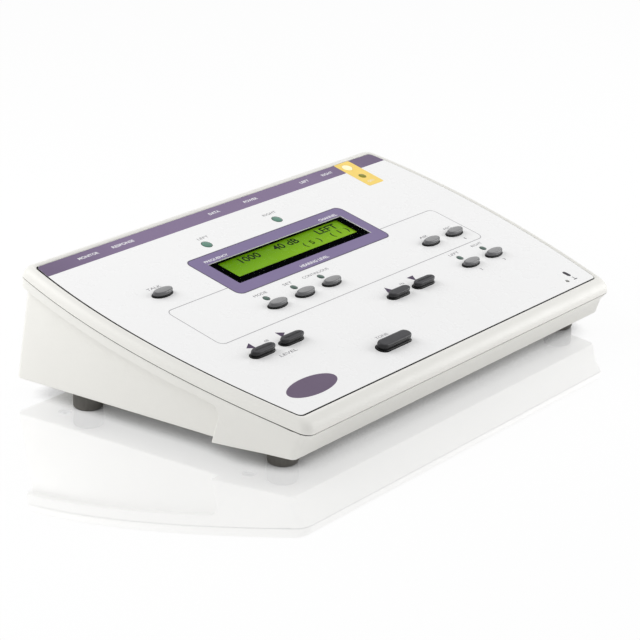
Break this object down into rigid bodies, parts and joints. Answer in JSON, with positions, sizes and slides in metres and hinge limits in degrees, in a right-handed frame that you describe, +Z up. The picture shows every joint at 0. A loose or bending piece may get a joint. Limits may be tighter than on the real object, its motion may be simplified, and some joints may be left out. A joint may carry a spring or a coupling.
{
  "type": "audiometer",
  "caption": "Desktop audiometer: low wedge case with a sloping key panel, text display, sprung push keys, indicator lamps, rear sockets and rubber feet.",
  "frame": {"origin": "on the table under the middle of the case's footprint", "axes": "+X to the user's right along the long side, +Y to the rear with the sockets, +Z up"},
  "size_m": [0.2684, 0.1607, 0.0609],
  "materials": {
    "case_white": "satin moulded warm white ABS",
    "label_white": "smooth printed panel label",
    "key_grey": "smooth mid-grey moulded key",
    "key_charcoal": "smooth charcoal moulded key",
    "lamp_green": "translucent teal green lens",
    "lamp_pale": "translucent pale yellow lens",
    "window_clear": "clear polished window",
    "frame_black": "black moulded frame",
    "glass_green": "green liquid crystal display glass",
    "board_green": "green glass-fibre circuit board",
    "switch_black": "black moulded push switch",
    "rubber_black": "dark moulded rubber foot",
    "screw_steel": "plain steel screw",
    "socket_black": "black moulded socket body",
    "socket_metal": "plated socket shell",
    "mic_metal": "aluminium microphone capsule"
  },
  "bodies": {
    "case": {"case_screw_1": "screw_steel", "case_screw_2": "screw_steel", "case_screw_3": "screw_steel", "case_screw_4": "screw_steel", "channel_lamp_1": "lamp_green", "channel_lamp_2": "lamp_green", "data_socket": "socket_metal", "display_board": "board_green", "display_frame": "frame_black", "display_glass": "glass_green", "display_window": "window_clear", "earphone_jack_left": "socket_black", "earphone_jack_right": "socket_black", "foot_1": "rubber_black", "foot_2": "rubber_black", "foot_3": "rubber_black", "foot_4": "rubber_black", "key_lamp_1": "lamp_green", "key_lamp_2": "lamp_green", "key_lamp_3": "lamp_green", "key_lamp_4": "lamp_green", "key_lamp_5": "lamp_green", "label_panel": "label_white", "level_switch_1": "switch_black", "level_switch_2": "switch_black", "level_switch_3": "switch_black", "level_switch_4": "switch_black", "lower_case": "case_white", "main_board": "board_green", "microphone": "mic_metal", "monitor_jack": "socket_black", "power_inlet": "socket_black", "power_lamp": "lamp_green", "response_jack": "socket_black", "response_lamp": "lamp_pale", "round_switch_1": "switch_black", "round_switch_2": "switch_black", "round_switch_3": "switch_black", "round_switch_4": "switch_black", "round_switch_5": "switch_black", "round_switch_6": "switch_black", "round_switch_7": "switch_black", "round_switch_8": "switch_black", "socket_board": "board_green", "tone_switch": "switch_black", "upper_case": "case_white"},
    "level_key_1": {"level_key_1": "key_charcoal"},
    "level_key_2": {"level_key_2": "key_charcoal"},
    "level_key_3": {"level_key_3": "key_charcoal"},
    "level_key_4": {"level_key_4": "key_charcoal"},
    "round_key_1": {"round_key_1": "key_grey"},
    "round_key_2": {"round_key_2": "key_grey"},
    "round_key_3": {"round_key_3": "key_grey"},
    "round_key_4": {"round_key_4": "key_grey"},
    "round_key_5": {"round_key_5": "key_grey"},
    "round_key_6": {"round_key_6": "key_grey"},
    "round_key_7": {"round_key_7": "key_grey"},
    "round_key_8": {"round_key_8": "key_grey"},
    "tone_key": {"tone_key": "key_charcoal"}
  },
  "joints": [
    {"name": "level_key_1_press", "type": "slide", "parent": "case", "child": "level_key_1", "axis": [0, 0.2164, -0.9763], "range_m": [0, 0.0008], "stiffness_N_per_m": 800, "springref_m": -0.001},
    {"name": "level_key_2_press", "type": "slide", "parent": "case", "child": "level_key_2", "axis": [0, 0.2164, -0.9763], "range_m": [0, 0.0008], "stiffness_N_per_m": 800, "springref_m": -0.001},
    {"name": "level_key_3_press", "type": "slide", "parent": "case", "child": "level_key_3", "axis": [0, 0.2164, -0.9763], "range_m": [0, 0.0008], "stiffness_N_per_m": 800, "springref_m": -0.001},
    {"name": "level_key_4_press", "type": "slide", "parent": "case", "child": "level_key_4", "axis": [0, 0.2164, -0.9763], "range_m": [0, 0.0008], "stiffness_N_per_m": 800, "springref_m": -0.001},
    {"name": "round_key_1_press", "type": "slide", "parent": "case", "child": "round_key_1", "axis": [0, 0.2164, -0.9763], "range_m": [0, 0.0008], "stiffness_N_per_m": 800, "springref_m": -0.001},
    {"name": "round_key_2_press", "type": "slide", "parent": "case", "child": "round_key_2", "axis": [0, 0.2164, -0.9763], "range_m": [0, 0.0008], "stiffness_N_per_m": 800, "springref_m": -0.001},
    {"name": "round_key_3_press", "type": "slide", "parent": "case", "child": "round_key_3", "axis": [0, 0.2164, -0.9763], "range_m": [0, 0.0008], "stiffness_N_per_m": 800, "springref_m": -0.001},
    {"name": "round_key_4_press", "type": "slide", "parent": "case", "child": "round_key_4", "axis": [0, 0.2164, -0.9763], "range_m": [0, 0.0008], "stiffness_N_per_m": 800, "springref_m": -0.001},
    {"name": "round_key_5_press", "type": "slide", "parent": "case", "child": "round_key_5", "axis": [0, 0.2164, -0.9763], "range_m": [0, 0.0008], "stiffness_N_per_m": 800, "springref_m": -0.001},
    {"name": "round_key_6_press", "type": "slide", "parent": "case", "child": "round_key_6", "axis": [0, 0.2164, -0.9763], "range_m": [0, 0.0008], "stiffness_N_per_m": 800, "springref_m": -0.001},
    {"name": "round_key_7_press", "type": "slide", "parent": "case", "child": "round_key_7", "axis": [0, 0.2164, -0.9763], "range_m": [0, 0.0008], "stiffness_N_per_m": 800, "springref_m": -0.001},
    {"name": "round_key_8_press", "type": "slide", "parent": "case", "child": "round_key_8", "axis": [0, 0.2164, -0.9763], "range_m": [0, 0.0008], "stiffness_N_per_m": 800, "springref_m": -0.001},
    {"name": "tone_key_press", "type": "slide", "parent": "case", "child": "tone_key", "axis": [0, 0.2164, -0.9763], "range_m": [0, 0.0008], "stiffness_N_per_m": 800, "springref_m": -0.001}
  ]
}
